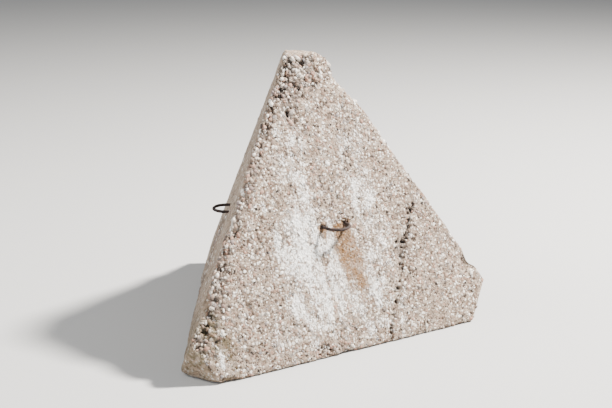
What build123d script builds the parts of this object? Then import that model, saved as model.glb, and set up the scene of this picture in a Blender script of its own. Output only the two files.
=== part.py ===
from build123d import *
import math
import os

# A solid concrete tetrahedron for shore protection, lying on one of its four faces.
# The origin is the middle of that face, on the ground. +Z is up and the front face looks to -Y.
# Sizes are in millimetres, angles in degrees.

# The casting
EDGE = 1600.0  # edge of the full tetrahedron, before its corners are cut off
CORNER_CUT = 200.0  # length that each end of an edge loses where its corner is cut off
ARRIS_RADIUS = 14.0  # worn edge between two faces
SET_BACK = 16.0  # how far the right face steps in between the open cast face and the joint
JOINT_DISTANCE = 837.0  # on the ground, from the open cast face to the joint of the two pours
JOINT_TILT = 9.8  # of the joint's normal above the level

# The bent bars that the block is lifted by
BAR_DIAMETER = 14.0
LOOP_WIDTH = 120.0  # over the outside of the two legs
LOOP_REACH = 70.0  # level, from the concrete to the outside of the bow
LOOP_ABOVE_CENTRE = 50.0  # up the slope of the face, from its middle
LEG_DEPTH = 150.0  # level, from the concrete to the middle of the hooks' tails
HOOK_RADIUS = 30.0  # on the centre line of the bar
HOOK_TAIL = 40.0  # straight end of the bar past its hook

# Directions in plan, counted from +X, that the three side faces look to
FRONT_ANGLE = -90.0
RIGHT_ANGLE = 30.0
OPEN_CAST_ANGLE = 150.0  # the face that lay uppermost in the mould
SIDE_ANGLES = (FRONT_ANGLE, RIGHT_ANGLE, OPEN_CAST_ANGLE)
LOOP_ANGLES = {"lifting_loop_front": FRONT_ANGLE, "lifting_loop_back": OPEN_CAST_ANGLE}

# Proportions of every regular tetrahedron
HEIGHT = EDGE * math.sqrt(2 / 3)
BASE_INRADIUS = EDGE / (2 * math.sqrt(3))
FACE_ALTITUDE = EDGE * math.sqrt(3) / 2
EDGE_TO_AXIS = math.sqrt(2 / 3)  # cosine between an edge and the axis through its corner
UP = Vector(0, 0, 1)


def outward(angle):
    """The level unit vector that a side face looks along."""
    return Vector(1, 0, 0).rotate(Axis.Z, angle)


def up_the_face(angle):
    """The unit vector up the slope of a side face."""
    return (Vector(0, 0, HEIGHT) - outward(angle) * BASE_INRADIUS) / FACE_ALTITUDE


def side_plane(angle):
    """The plane of a side face, through the ground edge, with its normal outward."""
    along_edge = UP.cross(outward(angle))
    normal = along_edge.cross(up_the_face(angle))
    return Plane(outward(angle) * BASE_INRADIUS, x_dir=along_edge, z_dir=normal)


def corner_plane(corner):
    """The plane that cuts a corner off, parallel to the face opposite it."""
    axis = (corner - Vector(0, 0, HEIGHT / 4)).normalized()
    return Plane(corner - axis * CORNER_CUT * EDGE_TO_AXIS, z_dir=axis)


def ground_corners():
    """The three full corners on the ground, each opposite a side face."""
    return [outward(angle) * BASE_INRADIUS * -2 for angle in SIDE_ANGLES]


def joint_plane():
    """Where one pour met the next; its normal looks to the open cast face."""
    level = outward(OPEN_CAST_ANGLE)
    tilt = math.radians(JOINT_TILT)
    start = level * (BASE_INRADIUS - JOINT_DISTANCE)
    return Plane(start, z_dir=level * math.cos(tilt) + UP * math.sin(tilt))


def worn_block(set_back):
    """A tetrahedron with its corners cut off, its edges worn and its right face moved in."""
    corners = ground_corners()
    block = extrude(make_face(Polyline(*corners, close=True)), HEIGHT)
    planes = [side_plane(angle) for angle in (FRONT_ANGLE, OPEN_CAST_ANGLE)]
    planes.append(side_plane(RIGHT_ANGLE).offset(-set_back))
    planes += [corner_plane(corner) for corner in [*corners, Vector(0, 0, HEIGHT)]]
    for plane in planes:
        block = split(block, bisect_by=plane, keep=Keep.BOTTOM)
    return fillet(block.edges(), ARRIS_RADIUS)


def casting():
    """The whole block, with the step in its right face along the joint."""
    later_pour = split(worn_block(SET_BACK), bisect_by=joint_plane(), keep=Keep.TOP)
    first_pour = split(worn_block(0.0), bisect_by=joint_plane(), keep=Keep.BOTTOM)
    return first_pour + later_pour


def loop_seat(angle):
    """The frame of a loop: on the face's slope, +Y level and outward, +Z up."""
    middle = outward(angle) * BASE_INRADIUS + up_the_face(angle) * FACE_ALTITUDE / 3
    seat = middle + up_the_face(angle) * LOOP_ABOVE_CENTRE
    return Plane(seat, x_dir=outward(angle).cross(UP), z_dir=UP)


def lifting_loop(angle):
    """One round bar: a bow outside the concrete, and two legs that end in outward hooks."""
    bow_radius = (LOOP_WIDTH - BAR_DIAMETER) / 2
    leg_end = LOOP_REACH - LOOP_WIDTH / 2
    hook_start = -LEG_DEPTH + HOOK_RADIUS
    tail_end = (-bow_radius - HOOK_RADIUS - HOOK_TAIL, -LEG_DEPTH)
    tail = Line(tail_end, (-bow_radius - HOOK_RADIUS, -LEG_DEPTH))
    hook = JernArc(tail @ 1, tail % 1, HOOK_RADIUS, 90)
    leg = Line((-bow_radius, hook_start), (-bow_radius, leg_end))
    bow = JernArc(leg @ 1, leg % 1, bow_radius, -180)
    half = tail + hook + leg
    path = Wire([*half.edges(), *bow.edges(), *mirror(half, about=Plane.YZ).edges()])
    section = Plane(tail_end, z_dir=(1, 0, 0)) * Circle(BAR_DIAMETER / 2)
    return loop_seat(angle) * sweep(section, path=path)


loops = {name: lifting_loop(angle) for name, angle in LOOP_ANGLES.items()}
concrete = casting() - list(loops.values())

os.makedirs("parts", exist_ok=True)
export_step(concrete, "parts/concrete_block.step")
for name, loop in loops.items():
    export_step(loop, f"parts/{name}.step")
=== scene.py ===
import itertools
import math

import bmesh
import bpy
import numpy as np
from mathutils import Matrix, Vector


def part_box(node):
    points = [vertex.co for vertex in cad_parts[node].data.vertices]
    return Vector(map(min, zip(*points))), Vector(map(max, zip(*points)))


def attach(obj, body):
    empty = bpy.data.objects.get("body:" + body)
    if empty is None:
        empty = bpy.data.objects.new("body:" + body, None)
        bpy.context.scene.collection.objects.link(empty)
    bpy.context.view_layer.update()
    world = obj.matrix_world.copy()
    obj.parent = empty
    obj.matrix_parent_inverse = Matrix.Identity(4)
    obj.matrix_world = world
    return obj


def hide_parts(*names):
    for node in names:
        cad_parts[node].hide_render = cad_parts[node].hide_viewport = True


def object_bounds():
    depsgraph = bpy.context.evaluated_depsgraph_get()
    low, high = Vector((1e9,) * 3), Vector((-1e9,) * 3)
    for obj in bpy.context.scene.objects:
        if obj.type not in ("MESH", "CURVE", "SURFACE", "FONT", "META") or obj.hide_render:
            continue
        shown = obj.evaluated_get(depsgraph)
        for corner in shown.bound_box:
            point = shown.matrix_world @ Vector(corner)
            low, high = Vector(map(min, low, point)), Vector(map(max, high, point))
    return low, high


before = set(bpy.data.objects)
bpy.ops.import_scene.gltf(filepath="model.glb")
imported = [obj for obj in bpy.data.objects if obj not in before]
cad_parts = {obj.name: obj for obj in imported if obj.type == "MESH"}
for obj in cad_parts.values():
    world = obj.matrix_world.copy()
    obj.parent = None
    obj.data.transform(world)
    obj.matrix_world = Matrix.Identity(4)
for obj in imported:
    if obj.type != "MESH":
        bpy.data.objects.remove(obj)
cad_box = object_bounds()

# A weathered concrete tetrahedron and its rusty lifting loops.
# Metres, +Z up, the front face looks to -Y. The full tetrahedron comes from the frame's height.

CUT_SHARE = 1 / 8  # a corner loses this share of the full edge
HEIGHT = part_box("concrete_block")[1][2] / (1 - CUT_SHARE)
EDGE = HEIGHT / math.sqrt(2 / 3)
INRADIUS = EDGE / (2 * math.sqrt(3))
FACE_ALTITUDE = EDGE * math.sqrt(3) / 2
DIHEDRAL_SINE = math.sqrt(8) / 3  # sine of the angle between two faces

LEFT = np.array([-EDGE / 2, -INRADIUS, 0.0])
RIGHT = np.array([EDGE / 2, -INRADIUS, 0.0])
BACK = np.array([0.0, 2 * INRADIUS, 0.0])
TOP = np.array([0.0, 0.0, HEIGHT])
CENTRE = (LEFT + RIGHT + BACK + TOP) / 4
MARGIN = 0.0003  # the worn surfaces stay this far inside the solids' planes and box
BOX_LOW = np.array(cad_box[0]) + MARGIN
BOX_HIGH = np.array(cad_box[1]) - MARGIN

# Each face by its three corners; the open face is the one that lay uppermost in the mould
FACES = {
    "front": (LEFT, RIGHT, TOP),
    "right": (RIGHT, BACK, TOP),
    "open": (BACK, LEFT, TOP),
    "base": (LEFT, BACK, RIGHT),
}
CORNERS = {"left_end": LEFT, "right_end": RIGHT, "back_end": BACK, "top_end": TOP}


def face_plane(corners):
    """Outward normal and offset of the plane through three corners."""
    a, b, c = corners
    normal = np.cross(b - a, c - a)
    normal /= np.linalg.norm(normal)
    return normal, normal @ a


def end_plane(corner):
    """Outward normal and offset of the small face that cuts a corner off."""
    axis = (corner - CENTRE) / np.linalg.norm(corner - CENTRE)
    return axis, axis @ corner - EDGE * CUT_SHARE * math.sqrt(2 / 3)


PLANES = {name: face_plane(corners) for name, corners in FACES.items()}
PLANES.update({name: end_plane(corner) for name, corner in CORNERS.items()})
INDEX = {name: index for index, name in enumerate(PLANES)}
NORMALS = np.array([normal for normal, _ in PLANES.values()])
OFFSETS = np.array([offset for _, offset in PLANES.values()])
UP_FRONT = (TOP - (LEFT + RIGHT) / 2) / FACE_ALTITUDE


# Noise

# Turns the noise's cells away from the axes, so that no face runs along their walls
TURN = np.array([[0.36, 0.48, -0.8], [-0.8, 0.6, 0.0], [0.48, 0.64, 0.6]])


def hashed(cell, salt):
    """A repeatable number from 0 to 1 for each whole-number cell."""
    x, y, z = (cell[..., i].astype(np.int64) for i in range(3))
    n = (x * 374761393 + y * 668265263 + z * 1442695041 + salt * 1274126177) & 0xFFFFFFFF
    n = ((n ^ (n >> 15)) * 2246822519) & 0xFFFFFFFF
    n = ((n ^ (n >> 13)) * 3266489917) & 0xFFFFFFFF
    return (n ^ (n >> 16)) / 4294967295


def noise(points, scale, salt=0):
    """Smooth noise from -1 to 1 with features about as wide as scale."""
    q = points @ TURN / scale
    cell = np.floor(q).astype(np.int64)
    f = q - cell
    w = f * f * (3 - 2 * f)
    total = np.zeros(len(points))
    for corner in itertools.product((0, 1), repeat=3):
        share = np.prod(np.where(np.array(corner) == 1, w, 1 - w), axis=-1)
        total += share * hashed(cell + np.array(corner), salt)
    return 2 * total - 1


def layered(points, scale, layers, salt=0):
    """Noise of several scales, each half as wide and half as strong as the last."""
    total = np.zeros(len(points))
    for layer in range(layers):
        total += noise(points, scale / 2**layer, salt + 31 * layer) / 2**layer
    return total / (2 - 2 ** (1 - layers))


def cells(points, spacing, salt=0):
    """For each point, the nearest and second nearest of scattered seeds, and the nearest's number."""
    q = points / spacing
    home = np.floor(q).astype(np.int64)
    first = np.full(len(points), 9.0)
    second = np.full(len(points), 9.0)
    number = np.zeros(len(points))
    for step in itertools.product((-1, 0, 1), repeat=3):
        cell = home + np.array(step)
        seed = cell + np.stack([hashed(cell, salt + 7 * i) for i in range(3)], axis=-1)
        reach = np.linalg.norm(q - seed, axis=-1)
        nearer = reach < first
        second = np.where(nearer, first, np.minimum(second, reach))
        number = np.where(nearer, hashed(cell, salt + 99), number)
        first = np.where(nearer, reach, first)
    return first, second, number


def ramp(value, low, high):
    """0 at low, 1 at high and smooth between; low may be the larger."""
    t = np.clip((value - low) / (high - low), 0, 1)
    return t * t * (3 - 2 * t)


# Places on the front face, read from the photograph: x along the ground edge, v up the slope

LIFT_AT_GROUND = 0.789  # from the open face to the joint between two pours
LIFT_LEAN = 0.17  # how much nearer the joint comes for each metre of height
SET_BACK = 0.016  # of the right face, between the open face and that joint
BAND_WIDTH_LOW = 0.150  # of the honeycombed band, at the ground
BAND_WIDTH_HIGH = 0.070  # and from half a metre up the slope
TOP_HOLE = TOP + (0.6 * LEFT + 0.2 * RIGHT + 0.2 * BACK - TOP) * CUT_SHARE
TOP_HOLE_TURN = np.array([[0.6, 0.8, 0], [0.8, -0.6, 0], [0, 0, 1.0]])
TOP_HOLE_SIZE = [0.010, 0.018, 0.03]

# Places of the loops; a loop's direction is in degrees from +X
LOOP_DIRECTIONS = {"lifting_loop_front": -90, "lifting_loop_back": 150}
LOOP_HALF_WIDTH = 0.053  # from the loop's middle to the middle of a leg
SEAT_V = FACE_ALTITUDE / 3 + 0.05  # up the slope from the ground edge


def inside_distances(points):
    """How deep each point lies behind each of the eight planes."""
    return OFFSETS - points @ NORMALS.T


def by_name(distances):
    """The same depths under the names of the planes."""
    return dict(zip(PLANES, distances.T))


def front_place(points):
    """x along the front face and v up its slope."""
    return points[:, 0], (points - (LEFT + RIGHT) / 2) @ UP_FRONT


def blob(x, v, cx, cv, rx, rv):
    """1 in the middle of an ellipse on the front face, 0 from its rim outward."""
    return np.clip(1 - ((x - cx) / rx) ** 2 - ((v - cv) / rv) ** 2, 0, 1)


def band_mask(points, distance):
    """The honeycombed band of the front face along its rim with the open face."""
    from_rim = distance["open"] / DIHEDRAL_SINE + 0.016 * layered(points, 0.06, 3, 5)
    _, v = front_place(points)
    width = BAND_WIDTH_HIGH + (BAND_WIDTH_LOW - BAND_WIDTH_HIGH) * ramp(v, 0.5, 0.05)
    return ramp(from_rim, width, width * 0.45)


def past_lift(points, distance):
    """How far each point lies past the joint between the two pours, away from the open face."""
    return distance["open"] - LIFT_AT_GROUND + LIFT_LEAN * points[:, 2]


def lift_mask(points, distance):
    """The broken line of honeycomb pits where one pour met the next."""
    from_line = past_lift(points, distance) + 0.028 * layered(points, 0.12, 3, 41)
    width = 0.009 + 0.036 * ramp(noise(points, 0.08, 43), -0.2, 0.7)
    broken = ramp(noise(points, 0.13, 45), -0.80, -0.15)
    return ramp(np.abs(from_line), width, width * 0.4) * broken


def apex_mask(points):
    """The rough patch below the cut-off top of the front face."""
    x, v = front_place(points)
    patch = blob(x, v, -0.05, 1.12, 0.11, 0.12) + 0.6 * blob(x, v, -0.12, 0.98, 0.06, 0.10)
    return ramp(patch + 0.35 * layered(points, 0.05, 3, 51), 0.15, 0.6)


def pebble_bed(points, spacing, salt):
    """Relief of packed pebbles: 0 on their tops, 1 in the gaps between them."""
    first, second, _ = cells(points, spacing, salt)
    return ramp(second - first, 0.45, 0.02)


def voids(points, spacing, share, salt, wide=0.42):
    """Scattered holes: 1 in the middle of a share of the cells."""
    first, _, number = cells(points, spacing, salt)
    ragged = first + 0.22 * noise(points, spacing * 0.35, salt + 50)
    return ramp(ragged, wide, wide * 0.35) * (number < share)


# Relief: how far each face has worn in, in metres

def open_share(points):
    """How open the honeycomb of the band is: most low down and close below the top."""
    _, v = front_place(points)
    return 0.5 + 0.5 * np.maximum(ramp(v, 0.62, 0.38), ramp(v, 0.88, 1.0))


def front_relief(points, distance):
    """Bare sand all over, and honeycomb in the band, at the top, along the joint and at the foot."""
    x, v = front_place(points)
    band = band_mask(points, distance)
    lift = lift_mask(points, distance)
    apex = apex_mask(points)
    nick = ramp(blob(x, v, -0.14, 0.02, 0.05, 0.05) + 0.3 * layered(points, 0.03, 2, 13), 0.2, 0.6)
    depth = 0.0012 + 0.0013 * layered(points, 0.22, 3, 1)
    depth += 0.0021 * (1 + layered(points, 0.017, 2, 2)) * 0.6
    depth += 0.0022 * voids(points, 0.023, 0.5, 3)
    depth += 0.006 * voids(points, 0.040, 0.06, 4)
    depth += 0.0024 * ramp(layered(points, 0.09, 3, 6), 0.05, 0.6)
    rough = 0.005 + 0.008 * pebble_bed(points, 0.028, 7)
    rough += 0.018 * voids(points, 0.040, 0.45, 8, 0.55)
    depth += band * rough * open_share(points)
    rough = 0.003 + 0.006 * pebble_bed(points, 0.026, 9)
    rough += 0.013 * voids(points, 0.034, 0.3, 10, 0.55)
    depth += apex * rough
    pits = 0.013 * voids(points, 0.024, 0.55, 11, 0.60)
    pits += 0.011 * voids(points, 0.014, 0.55, 12, 0.62)
    depth += lift * (0.003 + pits)
    depth += nick * (0.003 + pits)
    return depth


def formed_relief(points, distance, name):
    """A smooth face that a board shaped: air holes, pits along the joint and a bare rim."""
    lift = lift_mask(points, distance)
    depth = 0.0009 + 0.0007 * layered(points, 0.3, 3, 21)
    depth += 0.0005 * (1 + layered(points, 0.011, 2, 22))
    depth += 0.0045 * voids(points, 0.036, 0.09, 23, 0.33) * ramp(noise(points, 0.25, 25), -0.5, 0.5)
    depth += 0.0030 * voids(points, 0.017, 0.10, 28) * ramp(noise(points, 0.12, 29), 0.0, 0.5)
    depth += lift * (0.003 + 0.012 * voids(points, 0.026, 0.5, 24, 0.60))
    rim = ramp(distance["open"] / DIHEDRAL_SINE + 0.02 * layered(points, 0.07, 3, 26), 0.045, 0.012)
    depth += rim * (0.004 + 0.006 * pebble_bed(points, 0.025, 27))
    return depth + 0.0012 * board_marks(points, name)


def ledge(points, distance):
    """How far the right face is set back between the open face and the joint of the two pours."""
    ragged = past_lift(points, distance) + 0.006 * noise(points, 0.06, 30)
    return SET_BACK * ramp(ragged, 0.005, -0.005)


def board_marks(points, name):
    """Steps from 0 to 1 between the boards that the mould was lined with."""
    normal = PLANES[name][0]
    along = np.cross(normal, PLANES["open"][0])
    across = np.cross(along / np.linalg.norm(along), normal)
    place = points @ across / 0.14 + 0.03 * noise(points, 0.5, 61)
    board = np.floor(place)
    level = hashed(np.stack([board, board * 0, board * 0], axis=-1), 62)
    gap = ramp(np.abs(place - np.round(place)), 0.03, 0.0)
    return 0.7 * level + 0.6 * gap


def washed_mask(points):
    """Patches of the floated face where the smooth skin has washed away."""
    return ramp(layered(points, 0.30, 4, 38) - 0.5 * points[:, 2], 0.0, 0.22)


def open_relief(points, distance):
    """The coarse face that lay open in the mould, and its bare rim with the front face."""
    washed = washed_mask(points)
    depth = 0.0022 + 0.0020 * layered(points, 0.26, 3, 31)
    depth += 0.0008 * (1 + layered(points, 0.014, 2, 32))
    depth += 0.005 * voids(points, 0.045, 0.12, 34)
    rough = 0.0025 + 0.004 * pebble_bed(points, 0.026, 33)
    rough += 0.007 * voids(points, 0.04, 0.2, 39)
    depth += washed * rough
    rim = ramp(distance["front"] / DIHEDRAL_SINE + 0.02 * layered(points, 0.06, 3, 29), 0.05, 0.012)
    depth += rim * (0.003 + 0.007 * pebble_bed(points, 0.026, 28))
    return depth


def end_relief(points):
    """The small faces where the corners are cut off; the top one has a hole."""
    depth = 0.0014 + 0.0012 * layered(points, 0.08, 3, 35)
    depth += 0.0006 * (1 + layered(points, 0.012, 2, 36))
    depth += 0.007 * voids(points, 0.045, 0.14, 37)
    from_hole = (points - TOP_HOLE) @ TOP_HOLE_TURN / TOP_HOLE_SIZE
    depth += 0.020 * ramp(np.linalg.norm(from_hole, axis=1), 1.0, 0.5)
    return depth


def relief(points, distance, name):
    """How far the surface of one face lies behind its plane."""
    if name == "front":
        depth = front_relief(points, distance)
    elif name == "open":
        depth = open_relief(points, distance)
    elif name in FACES:
        depth = formed_relief(points, distance, name)
    else:
        depth = end_relief(points)
    return np.maximum(depth, MARGIN)


def rim_wear(points):
    """How far the edges have worn in: a little everywhere, and more where they were knocked."""
    wear = 0.0055 + 0.0022 * layered(points, 0.05, 3, 71)
    wear += 0.010 * ramp(layered(points, 0.11, 3, 72), 0.1, 0.6)
    wear += 0.016 * ramp(noise(points, 0.17, 73), 0.40, 0.9)
    return np.maximum(wear, 0.003)


def weathered(points):
    """Moves points of the sharp block to its worn surface; also gives how deep each was moved."""
    distances = inside_distances(points)
    distance = by_name(distances)
    sharpness = math.log(2) / rim_wear(points)
    power = np.exp(-distances * sharpness[:, None])
    weight = power / power.sum(axis=1, keepdims=True)
    overshoot = np.log(power.sum(axis=1)) / sharpness
    normal = weight @ NORMALS
    length = np.linalg.norm(normal, axis=1)
    depth = np.zeros(len(points))
    for name, index in INDEX.items():
        near = weight[:, index] > 0.004
        here = {key: value[near] for key, value in distance.items()}
        depth[near] += weight[near, index] * relief(points[near], here, name)
    set_back = weight[:, INDEX["right"]] * ledge(points, distance)
    shift = overshoot / length + depth + set_back
    return points - normal / length[:, None] * shift[:, None], depth


# The block's mesh

LATTICE = 8  # big triangles along an edge; each cut corner takes one of them away
TRIANGLE_STEPS = 21  # small triangles along the side of a big one
FINE_FACES = ("front", "top_end")  # the faces whose small triangles are halved once more


def lattice(a, b, c, steps):
    """The small triangles that tile a triangle, as an array of corner triples."""
    made = []
    for i in range(steps):
        for j in range(steps - i):
            made.append(((i, j), (i + 1, j), (i, j + 1)))
            if i + j < steps - 1:
                made.append(((i + 1, j), (i + 1, j + 1), (i, j + 1)))
    place = np.array(made, dtype=float) / steps
    return a + place[..., :1] * (b - a) + place[..., 1:] * (c - a)


def sharp_triangles():
    """Every small triangle of the block with its corners cut off, and which are to be halved."""
    eighths = []
    for name, (a, b, c) in FACES.items():
        big = lattice(a, b, c, LATTICE)
        cut = [any(np.allclose(point, corner) for point in t for corner in (a, b, c)) for t in big]
        eighths += [(name, t) for t, gone in zip(big, cut) if not gone]
    for name, corner in CORNERS.items():
        others = [p for p in CORNERS.values() if p is not corner]
        end = [corner + (p - corner) * CUT_SHARE for p in others]
        if np.cross(end[1] - end[0], end[2] - end[0]) @ (corner - CENTRE) < 0:
            end.reverse()
        eighths.append((name, end))
    small = [lattice(*t, TRIANGLE_STEPS) for _, t in eighths]
    fine = [np.full(len(s), name in FINE_FACES) for s, (name, _) in zip(small, eighths)]
    return np.concatenate(small), np.concatenate(fine)


def welded(triangles):
    """Points and triangles of indices, with shared corners joined."""
    flat = triangles.reshape(-1, 3)
    micrometres = np.round(flat * 1e6).astype(np.int64)
    _, first, index = np.unique(micrometres, axis=0, return_index=True, return_inverse=True)
    return flat[first], index.reshape(-1, 3)


def new_mesh(name, points, faces):
    """A smooth object from an array of points and a list of faces."""
    mesh = bpy.data.meshes.new(name)
    mesh.from_pydata(points.tolist(), [], faces)
    mesh.update()
    made = bpy.data.objects.new(name, mesh)
    bpy.context.collection.objects.link(made)
    smooth(made)
    return made


def smooth(made):
    """Shades every face of an object smooth."""
    made.data.polygons.foreach_set("use_smooth", np.ones(len(made.data.polygons), dtype=bool))


def coordinates(made):
    """Where an object's points are."""
    points = np.empty(len(made.data.vertices) * 3)
    made.data.vertices.foreach_get("co", points)
    return points.reshape(-1, 3)


def halve(made, fine):
    """Halves the edges of the triangles that fine marks."""
    mesh = bmesh.new()
    mesh.from_mesh(made.data)
    mesh.faces.ensure_lookup_table()
    edges = {edge for index in np.flatnonzero(fine) for edge in mesh.faces[index].edges}
    bmesh.ops.subdivide_edges(mesh, edges=list(edges), cuts=1, use_grid_fill=True)
    bmesh.ops.triangulate(mesh, faces=[face for face in mesh.faces if len(face.verts) > 3])
    mesh.to_mesh(made.data)
    mesh.free()


def store(made, name, values):
    """Keeps one number for each vertex, for the materials."""
    layer = made.data.attributes.new(name, "FLOAT", "POINT")
    layer.data.foreach_set("value", np.asarray(values, dtype=np.float32))


# Stains, as one number from 0 to 1 at each vertex

# White droppings on the front face: a strength, then an ellipse by its middle and its two radii
DROPPINGS = (
    (0.84, -0.15, 0.40, 0.16, 0.30),
    (0.40, -0.16, 0.78, 0.11, 0.30),
    (0.50, 0.15, 0.76, 0.10, 0.32),
    (0.45, 0.02, 0.20, 0.17, 0.22),
    (0.35, -0.24, 0.12, 0.20, 0.18),
    (0.35, 0.10, 0.42, 0.18, 0.28),
    (0.32, 0.24, 0.26, 0.15, 0.32),
    (0.25, -0.02, 0.45, 0.42, 0.70),
)
DABS = ((1.0, -0.58, 0.09, 0.011, 0.05), (0.8, -0.30, 0.62, 0.010, 0.035))


def on_face(distances, name):
    """1 on one face of the block and 0 on the others."""
    others = np.delete(distances, INDEX[name], axis=1).min(axis=1)
    return ramp(distances[:, INDEX[name]] - others, 0.004, -0.004)


def droppings(points, distances):
    """White streaks that run down the front face."""
    x, v = front_place(points)
    zone = sum(strength * blob(x, v, *ellipse) for strength, *ellipse in DROPPINGS)
    down = np.stack([x / 0.024, v / 0.10, 0 * x], axis=-1)
    streaks = 0.66 * layered(down, 1.0, 3, 81)
    spots = 0.55 * layered(points, 0.045, 3, 82)
    white = ramp(zone + streaks + spots, 0.16, 1.25)
    dab = np.maximum(*(strength * blob(x, v, *ellipse) for strength, *ellipse in DABS))
    return np.maximum(white, ramp(dab + 0.2 * spots, 0.2, 0.5)) * on_face(distances, "front")


def rust_run(points, distances):
    """Brown run-off below the front loop and below its left leg."""
    x, v = front_place(points)
    below = ramp(v, SEAT_V + 0.014, SEAT_V - 0.004)
    run = ramp(v, SEAT_V - 0.38, SEAT_V - 0.14) * below
    middle = 0.022 + 0.22 * (SEAT_V - v)
    width = 0.068 + 0.17 * np.clip(SEAT_V - v, 0, 0.3)
    wander = 0.022 * layered(points, 0.05, 3, 87)
    across = ramp(np.abs(x - middle + wander), width, width * 0.1)
    left_leg = 0.7 * ramp(np.abs(x + LOOP_HALF_WIDTH), 0.02, 0.0) * ramp(v, SEAT_V - 0.11, SEAT_V)
    left_leg *= below
    down = np.stack([x / 0.02, v / 0.09, 0 * x], axis=-1)
    broken = 0.75 + 0.60 * layered(down, 1.0, 2, 83)
    front = np.maximum(run * across, left_leg) * broken * on_face(distances, "front")
    return np.clip(front, 0, 1)


def feet_rust(points):
    """1 right beside a leg of a loop, fading over some centimetres."""
    near = np.full(len(points), 9.0)
    for foot in loop_feet():
        near = np.minimum(near, np.linalg.norm(points - foot, axis=1))
    return ramp(near + 0.006 * noise(points, 0.02, 84), 0.028, 0.008)


def algae(points, distances):
    """Olive growth low on the block and on the shaded faces."""
    height = points[:, 2] + 0.10 * layered(points, 0.25, 4, 85)
    low = ramp(height, 0.30, 0.02)
    front = on_face(distances, "front")
    patches = ramp(layered(points, 0.13, 4, 86), -0.1, 0.5)
    left_corner = ramp(blob(points[:, 0], points[:, 2], -0.68, 0.07, 0.20, 0.26), 0.0, 0.5)
    corner_patches = ramp(layered(points, 0.05, 3, 88), -0.4, 0.3)
    return np.clip(low * patches * (1 - 0.85 * front) + 0.9 * left_corner * corner_patches, 0, 1)


def loop_feet():
    """Where each leg of the two loops enters the concrete."""
    frames = loop_frames().values()
    return np.array([seat + end * LOOP_HALF_WIDTH * side for seat, side, _ in frames for end in (-1, 1)])


def loop_frames():
    """Seat, sideways and outward directions of each loop."""
    made = {}
    for node, direction in LOOP_DIRECTIONS.items():
        turn = math.radians(direction)
        out = np.array([math.cos(turn), math.sin(turn), 0.0])
        side = np.array([out[1], -out[0], 0.0])
        slope = (np.array([0, 0, HEIGHT]) - out * INRADIUS) / FACE_ALTITUDE
        seat = out * INRADIUS + slope * SEAT_V
        made[node] = (seat, side, out)
    return made


def concrete():
    """The whole casting as one closed mesh."""
    triangles, fine = sharp_triangles()
    points, faces = welded(triangles)
    made = new_mesh("weathered_block", points, faces.tolist())
    halve(made, fine)
    sharp = coordinates(made)
    distances = inside_distances(sharp)
    nearest = np.argmin(distances, axis=1)
    worn, depth = weathered(sharp)
    for foot in loop_feet():
        reach = np.linalg.norm(sharp - foot, axis=1) + 0.004 * noise(sharp, 0.02, 91)
        worn -= NORMALS[nearest] * (0.006 * ramp(reach, 0.026, 0.012))[:, None]
    made.data.vertices.foreach_set("co", np.clip(worn, BOX_LOW, BOX_HIGH).ravel())
    made.data.update()
    smooth(made)
    distance = by_name(distances)
    rough = np.maximum(band_mask(sharp, distance), apex_mask(sharp)) * on_face(distances, "front")
    rough = np.maximum(rough, 0.8 * washed_mask(sharp) * on_face(distances, "open"))
    rough = np.maximum(rough, 0.7 * lift_mask(sharp, distance))
    store(made, "rough", rough)
    store(made, "depth", depth)
    store_stains(made, sharp, distances)
    return made


def store_stains(made, points, distances):
    """Keeps what the materials of the block and of the pebbles both need."""
    store(made, "white", droppings(points, distances))
    store(made, "rust", np.maximum(rust_run(points, distances), feet_rust(points)))
    store(made, "algae", algae(points, distances))
    store(made, "lit_face", on_face(distances, "front"))


# Pebbles that stand out of the worn paste

def pebble_shape(rings, sides):
    """A round stone's points and triangles, before it is stretched."""
    points = [(0, 0, -1)]
    for ring in range(1, rings):
        tilt = math.pi * ring / rings - math.pi / 2
        for side in range(sides):
            turn = 2 * math.pi * (side + 0.5 * (ring % 2)) / sides
            level = math.cos(tilt)
            points.append((level * math.cos(turn), level * math.sin(turn), math.sin(tilt)))
    points.append((0, 0, 1))
    faces = [(0, 1 + (side + 1) % sides, 1 + side) for side in range(sides)]
    for ring in range(rings - 2):
        low, high = 1 + ring * sides, 1 + (ring + 1) * sides
        for side in range(sides):
            after = (side + 1) % sides
            faces.append((low + side, low + after, high + side))
            faces.append((low + after, high + after, high + side))
    last = 1 + (rings - 2) * sides
    faces += [(last + side, last + (side + 1) % sides, len(points) - 1) for side in range(sides)]
    return np.array(points, dtype=float), np.array(faces)


def scattered(name, spacing, keep, rng):
    """Jittered points on one face, in rows a spacing apart, kept where keep says."""
    a, b, c = FACES[name]
    count = int(EDGE / spacing)
    along, up = np.meshgrid(np.arange(count) / count, np.arange(count) / count)
    place = np.stack([along.ravel(), up.ravel()], axis=-1)
    place = place + rng.uniform(-0.5, 0.5, place.shape) / count
    inside = (place.min(axis=1) > 0) & (place.sum(axis=1) < 1)
    place = place[inside]
    points = a + place[:, :1] * (b - a) + place[:, 1:] * (c - a)
    distances = inside_distances(points)
    others = np.delete(distances, INDEX[name], axis=1).min(axis=1)
    points = points[others > 0.004]
    return points[keep(points) > rng.uniform(0, 1, len(points))]


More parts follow.
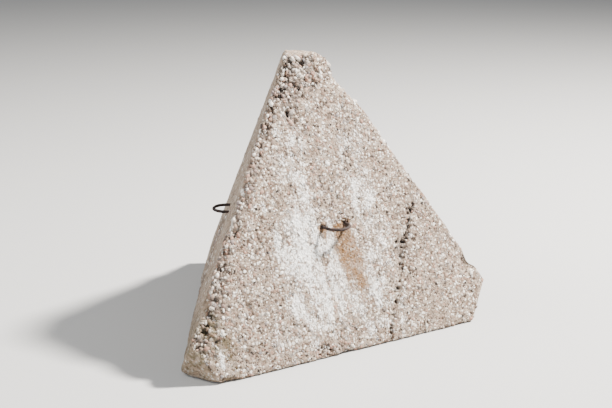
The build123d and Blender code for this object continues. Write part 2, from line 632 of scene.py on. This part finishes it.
def pebbles(name, face, seats, sizes, rings, sides, proud, rng):
    """One joined mesh of pebbles, each sunk into the worn surface; none stands out past a plane."""
    shape, triangles = pebble_shape(rings, sides)
    normal = PLANES[face][0]
    side = np.cross(normal, [0.0, 0.0, 1.0])
    side /= np.linalg.norm(side)
    up = np.cross(normal, side)
    count = len(seats)
    turn = rng.uniform(0, 2 * math.pi, count)
    first = np.cos(turn)[:, None] * side + np.sin(turn)[:, None] * up
    second = np.cross(normal, first)
    long = sizes / 2 * rng.uniform(1.0, 1.45, count)
    short = sizes / 2 * rng.uniform(0.65, 1.0, count)
    thick = sizes / 2 * rng.uniform(0.50, 0.80, count)
    lumps = 1 + rng.uniform(-0.20, 0.16, (count, len(shape)))
    worn, _ = weathered(seats)
    lift = proud * sizes * rng.uniform(0.4, 1.0, count)
    middle = worn + normal * (lift - thick)[:, None]
    local = (np.sign(shape) * np.abs(shape) ** 0.8)[None] * lumps[..., None]
    points = middle[:, None] + local[..., :1] * (long[:, None] * first)[:, None]
    points += local[..., 1:2] * (short[:, None] * second)[:, None]
    points += local[..., 2:] * (thick[:, None] * normal)[:, None]
    behind = inside_distances(points.reshape(-1, 3)).min(axis=1).reshape(count, -1).min(axis=1)
    fits = behind > MARGIN
    seats, points, count = seats[fits], points[fits], int(fits.sum())
    faces = (triangles[None] + (np.arange(count) * len(shape))[:, None, None]).reshape(-1, 3)
    made = new_mesh(name, np.clip(points.reshape(-1, 3), BOX_LOW, BOX_HIGH), faces.tolist())
    seat_of = np.repeat(seats, len(shape), axis=0)
    store(made, "stone", np.repeat(rng.uniform(0, 1, count), len(shape)))
    store_stains(made, seat_of, inside_distances(seat_of))
    return made


def stone_sizes(rng, count, low, high, extra, rarity):
    """Random sizes from low to high, and a few up to extra larger."""
    return rng.uniform(low, high, count) + extra * rng.uniform(0, 1, count) ** rarity


def front_pebbles():
    """Fine stones all over the front face, fewer along the joint."""
    rng = np.random.default_rng(11)

    def keep(p):
        lift = lift_mask(p, by_name(inside_distances(p)))
        return (0.85 + 0.3 * noise(p, 0.2, 101)) * (1 - 2 * lift)

    seats = scattered("front", 0.0165, keep, rng)
    sizes = stone_sizes(rng, len(seats), 0.007, 0.014, 0.010, 4)
    return pebbles("front_fine_aggregate", "front", seats, sizes, 4, 6, 0.16, rng)


def rough_pebbles():
    """Coarser stones in the honeycombed band and the apex patch."""
    rng = np.random.default_rng(12)

    def keep(p):
        return np.maximum(band_mask(p, by_name(inside_distances(p))), apex_mask(p))

    seats = scattered("front", 0.0165, keep, rng)
    sizes = stone_sizes(rng, len(seats), 0.008, 0.017, 0.012, 3)
    return pebbles("front_coarse_aggregate", "front", seats, sizes, 5, 9, 0.12, rng)


def open_pebbles():
    """Stones on the open face: many where it is washed and along its rim, few elsewhere."""
    rng = np.random.default_rng(13)

    def keep(p):
        from_rim = inside_distances(p)[:, INDEX["front"]] / DIHEDRAL_SINE
        return np.maximum(np.maximum(washed_mask(p), ramp(from_rim, 0.06, 0.02)), 0.12)

    seats = scattered("open", 0.021, keep, rng)
    sizes = stone_sizes(rng, len(seats), 0.009, 0.020, 0.010, 3)
    return pebbles("open_face_aggregate", "open", seats, sizes, 5, 8, 0.10, rng)


def right_pebbles():
    """A few small stones on the right face."""
    rng = np.random.default_rng(14)
    seats = scattered("right", 0.036, lambda p: 0.35 + 0.3 * noise(p, 0.15, 104), rng)
    sizes = rng.uniform(0.006, 0.014, len(seats))
    return pebbles("right_fine_aggregate", "right", seats, sizes, 4, 7, 0.08, rng)


# The loops

BAR_RADIUS = 0.007
LOOP_REACH = 0.070  # from the concrete to the outside of the bow
LEG_DEPTH = 0.150  # from the concrete to the middle of the hooks' tails
HOOK_RADIUS = 0.030
HOOK_TAIL = 0.040
BAR_SIDES = 20
BAR_STEP = 0.0022  # between the bar's rings


def arc(cx, cy, radius, start, end):
    """Points of an arc in the loop's plane, about a bar step apart."""
    count = max(3, int(abs(end - start) * radius / BAR_STEP))
    turns = np.linspace(start, end, count)
    return np.stack([cx + radius * np.cos(turns), cy + radius * np.sin(turns)], axis=-1)


def straight(start, end):
    """Points of a straight line, about a bar step apart."""
    count = max(2, int(math.dist(start, end) / BAR_STEP))
    share = np.linspace(0, 1, count)[:, None]
    return np.array(start) * (1 - share) + np.array(end) * share


def loop_line():
    """The bar's centre line in the loop's plane: tail, hook, leg, bow, leg, hook and tail."""
    bow = LOOP_REACH - BAR_RADIUS - LOOP_HALF_WIDTH
    elbow = -LEG_DEPTH + HOOK_RADIUS
    outer = LOOP_HALF_WIDTH + HOOK_RADIUS
    left = [
        straight((-outer - HOOK_TAIL, -LEG_DEPTH), (-outer, -LEG_DEPTH)),
        arc(-outer, elbow, HOOK_RADIUS, -math.pi / 2, 0),
        straight((-LOOP_HALF_WIDTH, elbow), (-LOOP_HALF_WIDTH, bow)),
    ]
    half = np.concatenate(left)
    over = arc(0, bow, LOOP_HALF_WIDTH, math.pi, 0)
    line = np.concatenate([half, over, (half * [-1, 1])[::-1]])
    apart = np.linalg.norm(np.diff(line, axis=0), axis=1) > BAR_STEP * 0.3
    return line[np.concatenate([[True], apart])]


def rusty_loop(name, node, salt):
    """A round bar along the loop's line, pitted and flaked, thinnest where it enters the concrete."""
    seat, side, out = loop_frames()[node]
    up = np.array([0.0, 0.0, 1.0])
    line = loop_line()
    ahead = np.gradient(line, axis=0)
    ahead /= np.linalg.norm(ahead, axis=1, keepdims=True)
    across = np.stack([-ahead[:, 1], ahead[:, 0]], axis=-1)
    turns = np.arange(BAR_SIDES) * 2 * math.pi / BAR_SIDES
    centre = seat + line[:, :1] * side + line[:, 1:] * out
    level = across[:, :1] * side + across[:, 1:] * out
    round_bar = np.cos(turns)[None, :, None] * level[:, None] + np.sin(turns)[None, :, None] * up
    sharp = centre[:, None] + BAR_RADIUS * round_bar
    flat = sharp.reshape(-1, 3)
    outside = np.repeat(line[:, 1], BAR_SIDES)
    neck = 0.0011 * ramp(np.abs(outside - 0.002), 0.014, 0.0)
    scale = 0.0006 * layered(flat, 0.009, 3, salt)
    scale += 0.0005 * ramp(noise(flat, 0.016, salt + 5), 0.1, 0.6)
    pits = 0.0009 * voids(flat, 0.0065, 0.35, salt + 9)
    radius = BAR_RADIUS - 0.0007 - neck + scale - pits
    points = centre[:, None] + radius.reshape(len(line), BAR_SIDES)[..., None] * round_bar
    rows = np.arange(len(line) - 1)[:, None] * BAR_SIDES
    here = np.arange(BAR_SIDES)[None]
    after = (here + 1) % BAR_SIDES
    next_rows = rows + BAR_SIDES
    quads = np.stack([rows + here, rows + after, next_rows + after, next_rows + here], axis=-1)
    faces = quads.reshape(-1, 4).tolist()
    last = (len(line) - 1) * BAR_SIDES
    faces.append(list(range(BAR_SIDES))[::-1])
    faces.append([last + i for i in range(BAR_SIDES)])
    return new_mesh(name, points.reshape(-1, 3), faces)


# Materials

class Nodes:
    """A short way to write a material."""

    def __init__(self, name):
        self.material = bpy.data.materials.new(name)
        self.material.use_nodes = True
        self.tree = self.material.node_tree
        self.tree.nodes.clear()
        self.place = self.add("TexCoord").outputs["Object"]
        self.bent = self.bend(150.0, 0.009)

    def add(self, kind, inputs=None, **settings):
        """A node with its settings and its inputs, which are values or other nodes' outputs."""
        node = self.tree.nodes.new("ShaderNode" + kind)
        for key, value in settings.items():
            setattr(node, key, value)
        for key, value in (inputs or {}).items():
            if isinstance(value, bpy.types.NodeSocket):
                self.tree.links.new(value, node.inputs[key])
            else:
                node.inputs[key].default_value = value
        return node

    def attribute(self, name):
        """A number that the mesh stores at its points."""
        return self.add("Attribute", attribute_name=name).outputs["Fac"]

    def noise(self, scale, detail=3.0, rough=0.55, place=None):
        """Noise from 0 to 1; scale is the number of features in a metre."""
        inputs = {"Vector": place or self.place, "Scale": scale, "Detail": detail, "Roughness": rough}
        return self.add("TexNoise", inputs).outputs["Fac"]

    def bend(self, scale, reach):
        """The place, moved about by noise, so that cells get ragged outlines."""
        wave = self.add("TexNoise", {"Vector": self.place, "Scale": scale, "Detail": 2.0})
        inputs = {0: wave.outputs["Color"], 1: (0.5, 0.5, 0.5)}
        centred = self.add("VectorMath", inputs, operation="SUBTRACT").outputs[0]
        moved = self.add("VectorMath", {0: centred, "Scale": reach}, operation="SCALE").outputs[0]
        return self.add("VectorMath", {0: self.place, 1: moved}, operation="ADD").outputs[0]

    def spread(self, value, low, high, to_low=0.0, to_high=1.0):
        """Maps low to high onto to_low to to_high, and stops at both ends."""
        inputs = {"Value": value, "From Min": low, "From Max": high}
        inputs.update({"To Min": to_low, "To Max": to_high})
        return self.add("MapRange", inputs, interpolation_type="SMOOTHSTEP").outputs["Result"]

    def times(self, a, b):
        """The product of two numbers."""
        return self.add("Math", {0: a, 1: b}, operation="MULTIPLY").outputs[0]

    def plus(self, a, b):
        """The sum of two numbers."""
        return self.add("Math", {0: a, 1: b}, operation="ADD").outputs[0]

    def mix(self, share, a, b):
        """Colour a, with a share of colour b mixed in."""
        return self.add("Mix", {0: share, 6: a, 7: b}, data_type="RGBA").outputs[2]

    def colours(self, value, stops):
        """A colour ramp of (position, colour) stops."""
        node = self.add("ValToRGB", {"Fac": value})
        elements = node.color_ramp.elements
        while len(elements) < len(stops):
            elements.new(0.5)
        for element, (position, colour) in zip(elements, stops):
            element.position = position
            element.color = colour
        return node.outputs["Color"]

    def finish(self, colour, roughness, height, distance):
        """The material with this surface; height makes its finest grain."""
        bump = self.add("Bump", {"Height": height, "Distance": distance})
        inputs = {"Base Color": colour, "Roughness": roughness, "Normal": bump.outputs["Normal"]}
        shader = self.add("BsdfPrincipled", inputs)
        self.add("OutputMaterial", {"Surface": shader.outputs["BSDF"]})
        return self.material


def rgb(red, green, blue):
    """A linear colour from the 0 to 255 values of a screen."""
    return tuple(((c / 255 + 0.055) / 1.055) ** 2.4 for c in (red, green, blue)) + (1.0,)


PASTE_DARK = rgb(88, 71, 58)
PASTE = rgb(137, 118, 102)
PASTE_LIGHT = rgb(180, 164, 148)
SAND_DARK = rgb(36, 27, 22)
SAND_BROWN = rgb(84, 64, 50)
SAND_PINK = rgb(154, 124, 105)
SAND_GREY = rgb(116, 109, 103)
SAND_WHITE = rgb(236, 231, 222)
WHITE_LIME = rgb(250, 250, 248)
LIME_FILM = rgb(226, 222, 216)
RUST_STAIN = rgb(112, 76, 30)
RUST_DARK = rgb(56, 31, 21)
ALGAE = rgb(80, 70, 40)
PIT_SHADE = rgb(38, 32, 28)
GAP_SHADE = rgb(90, 79, 71)
BEIGE = rgb(160, 138, 114)


def grains(nodes, colour, scale, share, strength):
    """Sand grains over a colour: a share of the cells, each with its own tint; also their height."""
    field = nodes.add("TexVoronoi", {"Vector": nodes.bent, "Scale": scale})
    split = nodes.add("SeparateColor", {"Color": field.outputs["Color"]})
    shown = nodes.spread(split.outputs[1], 1.0 - share, 1.0 - share + 0.03)
    size = nodes.times(nodes.spread(field.outputs["Distance"], 0.50, 0.34), shown)
    stops = [
        (0.08, SAND_DARK),
        (0.25, SAND_BROWN),
        (0.42, SAND_PINK),
        (0.54, SAND_GREY),
        (0.66, PASTE_LIGHT),
        (0.88, SAND_WHITE),
    ]
    tint = nodes.colours(split.outputs[0], stops)
    return nodes.mix(nodes.times(size, strength), colour, tint), size


def stained(nodes, colour, grain):
    """Algae, rust and white droppings over a base colour, broken up by the grain."""
    green = nodes.times(nodes.attribute("algae"), nodes.spread(nodes.noise(60.0), 0.35, 0.6))
    colour = nodes.mix(nodes.times(green, 0.75), colour, ALGAE)
    rust = nodes.attribute("rust")
    patchy = nodes.spread(grain, 0.3, 0.65, 0.45, 1.0)
    soft = nodes.times(nodes.spread(rust, 0.0, 0.55), patchy)
    colour = nodes.mix(nodes.times(soft, 0.95), colour, RUST_STAIN)
    colour = nodes.mix(nodes.times(nodes.spread(rust, 0.75, 1.0), 0.85), colour, RUST_DARK)
    white = nodes.attribute("white")
    film = nodes.times(nodes.spread(white, 0.05, 0.9), 0.14)
    film = nodes.times(film, nodes.spread(rust, 0.08, 0.40, 1.0, 0.2))
    colour = nodes.mix(film, colour, LIME_FILM)
    downward = nodes.add("Mapping", {"Vector": nodes.place, "Scale": (1.0, 0.65, 0.65)}).outputs[0]
    blots = nodes.times(nodes.noise(120.0, 4.0, 0.80, downward), 5.4)
    wider = nodes.times(nodes.noise(34.0, 3.0, 0.6, downward), 1.6)
    cover = nodes.plus(nodes.plus(white, nodes.plus(blots, grain)), wider)
    specks = nodes.times(nodes.spread(cover, 4.66, 4.94), nodes.spread(white, 0.0, 0.25))
    specks = nodes.times(specks, nodes.spread(rust, 0.08, 0.40, 0.80, 0.10))
    return nodes.mix(specks, colour, WHITE_LIME)


def concrete_material():
    """Sandy paste in patches, with grains, and darker in the pits; plainer off the front face."""
    nodes = Nodes("weathered_concrete")
    cloud = nodes.noise(7.0, 4.0, 0.6)
    patch = nodes.noise(38.0, 3.0, 0.6)
    grit = nodes.noise(120.0, 4.0, 0.75)
    paste = [(0.0, PASTE_DARK), (0.5, PASTE), (1.0, PASTE_LIGHT)]
    colour = nodes.colours(nodes.spread(grit, 0.30, 0.70), paste)
    other = nodes.spread(nodes.attribute("lit_face"), 0.9, 0.1)
    colour = nodes.mix(nodes.times(other, 0.55), colour, BEIGE)
    colour = nodes.mix(nodes.spread(cloud, 0.42, 0.72, 0.0, 0.45), colour, PASTE_DARK)
    blotch = nodes.noise(16.0, 3.0, 0.6)
    colour = nodes.mix(nodes.spread(blotch, 0.52, 0.70, 0.0, 0.50), colour, PASTE_LIGHT)
    colour = nodes.mix(nodes.spread(patch, 0.48, 0.30, 0.0, 0.85), colour, PASTE_DARK)
    colour = nodes.mix(nodes.spread(patch, 0.52, 0.70, 0.0, 0.85), colour, PASTE_LIGHT)
    calm = nodes.spread(other, 0.0, 1.0, 1.0, 0.55)
    colour, small = grains(nodes, colour, 118.0, 0.80, calm)
    colour, large = grains(nodes, colour, 66.0, 0.62, calm)
    gaps = nodes.times(nodes.attribute("rough"), nodes.spread(patch, 0.62, 0.42, 0.2, 0.8))
    colour = nodes.mix(gaps, colour, GAP_SHADE)
    deep = nodes.spread(nodes.attribute("depth"), 0.007, 0.019, 0.0, 0.9)
    colour = nodes.mix(deep, colour, PIT_SHADE)
    colour = stained(nodes, colour, grit)
    height = nodes.plus(nodes.times(grit, 0.9), nodes.times(small, 0.28))
    height = nodes.plus(height, nodes.times(large, 0.45))
    return nodes.finish(colour, 0.93, height, 0.0056)


def stone_material():
    """Bare pebbles, each of one kind of stone, with some paste left on them."""
    nodes = Nodes("exposed_aggregate")
    kinds = [
        (0.0, rgb(52, 43, 39)),
        (0.13, rgb(94, 78, 68)),
        (0.30, rgb(142, 121, 105)),
        (0.46, rgb(158, 120, 101)),
        (0.60, rgb(114, 110, 111)),
        (0.74, rgb(168, 154, 141)),
        (0.88, rgb(202, 194, 183)),
        (1.0, rgb(244, 240, 233)),
    ]
    colour = nodes.colours(nodes.attribute("stone"), kinds)
    mottle = nodes.noise(180.0, 3.0, 0.65)
    colour = nodes.mix(nodes.spread(mottle, 0.48, 0.64, 0.0, 0.55), colour, PASTE)
    flecks = nodes.noise(420.0, 2.0)
    colour = nodes.mix(nodes.spread(flecks, 0.42, 0.3, 0.0, 0.5), colour, SAND_DARK)
    colour = stained(nodes, colour, mottle)
    return nodes.finish(colour, 0.8, mottle, 0.0018)


def rust_material():
    """Dark brown rust in patches and flakes."""
    nodes = Nodes("rusty_bar")
    patches = nodes.noise(85.0, 4.0, 0.65)
    flakes = nodes.noise(420.0, 3.0, 0.7)
    tones = [
        (0.0, rgb(15, 10, 9)),
        (0.38, rgb(26, 16, 13)),
        (0.62, rgb(38, 23, 18)),
        (1.0, rgb(64, 36, 25)),
    ]
    colour = nodes.colours(nodes.spread(patches, 0.25, 0.75), tones)
    colour = nodes.mix(nodes.spread(flakes, 0.58, 0.74, 0.0, 0.5), colour, rgb(64, 37, 25))
    colour = nodes.mix(nodes.spread(flakes, 0.42, 0.3, 0.0, 0.6), colour, rgb(24, 17, 15))
    return nodes.finish(colour, 0.85, nodes.plus(flakes, patches), 0.0010)


# The scene

def dress():
    """Every piece of the block, with its body and the node that it replaces."""
    block = concrete()
    stones = [front_pebbles(), rough_pebbles(), open_pebbles(), right_pebbles()]
    loops = {
        "lifting_loop_front": rusty_loop("rusty_loop_front", "lifting_loop_front", 201),
        "lifting_loop_back": rusty_loop("rusty_loop_back", "lifting_loop_back", 301),
    }
    paint, stone_paint, rust_paint = concrete_material(), stone_material(), rust_material()
    block.data.materials.append(paint)
    for piece in stones:
        piece.data.materials.append(stone_paint)
    for piece in (block, *stones):
        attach(piece, "root")
    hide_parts("concrete_block")
    for node, piece in loops.items():
        piece.data.materials.append(rust_paint)
        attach(piece, "root")
        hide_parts(node)


def floor():
    """A plain pale floor."""
    bpy.ops.mesh.primitive_plane_add(size=60)
    made = bpy.context.object
    made.name = "floor"
    material = bpy.data.materials.new("pale_floor")
    material.use_nodes = True
    shader = material.node_tree.nodes["Principled BSDF"]
    shader.inputs["Base Color"].default_value = (0.44, 0.44, 0.435, 1.0)
    shader.inputs["Roughness"].default_value = 0.9
    made.data.materials.append(material)


def area_light(name, direction, distance, size, power, colour):
    """A round lamp some way off in a direction, turned to the block."""
    data = bpy.data.lights.new(name, "AREA")
    data.shape = "DISK"
    data.size = size
    data.energy = power
    data.color = colour
    made = bpy.data.objects.new(name, data)
    bpy.context.collection.objects.link(made)
    toward = Vector(direction).normalized()
    made.location = Vector((0, 0, 0.5)) + toward * distance
    made.rotation_euler = (-toward).to_track_quat("-Z", "Y").to_euler()


def lights():
    """A key light from the right, two weak ones from the left, and an even sky."""
    area_light("key", (0.64, -0.26, 0.80), 9.0, 1.1, 5700.0, (1.0, 0.955, 0.90))
    area_light("fill", (-0.8, -0.7, 0.5), 6.0, 4.0, 110.0, (0.93, 0.96, 1.0))
    area_light("side", (-0.9, 0.35, 0.75), 7.0, 3.5, 420.0, (1.0, 0.98, 0.95))
    world = bpy.data.worlds.new("studio")
    world.use_nodes = True
    background = world.node_tree.nodes["Background"]
    background.inputs["Color"].default_value = (0.86, 0.90, 0.95, 1.0)
    background.inputs["Strength"].default_value = 0.36
    bpy.context.scene.world = world


CAMERA_AZIMUTH = -31.0  # degrees; 0 looks along +Y
CAMERA_ELEVATION = 16.0
CAMERA_DISTANCE = 4.4
CAMERA_LENS = 62.0
LOOK_AT = Vector((0.01, -0.05, 0.51))


def camera():
    """A camera at the photograph's viewing angle."""
    turn, tilt = math.radians(CAMERA_AZIMUTH), math.radians(CAMERA_ELEVATION)
    back = Vector((math.sin(turn) * math.cos(tilt), -math.cos(turn) * math.cos(tilt), math.sin(tilt)))
    data = bpy.data.cameras.new("camera")
    data.lens = CAMERA_LENS
    made = bpy.data.objects.new("camera", data)
    bpy.context.collection.objects.link(made)
    made.location = LOOK_AT + back * CAMERA_DISTANCE
    made.rotation_euler = (-back).to_track_quat("-Z", "Y").to_euler()
    bpy.context.scene.camera = made


camera()
dress()
floor()
lights()
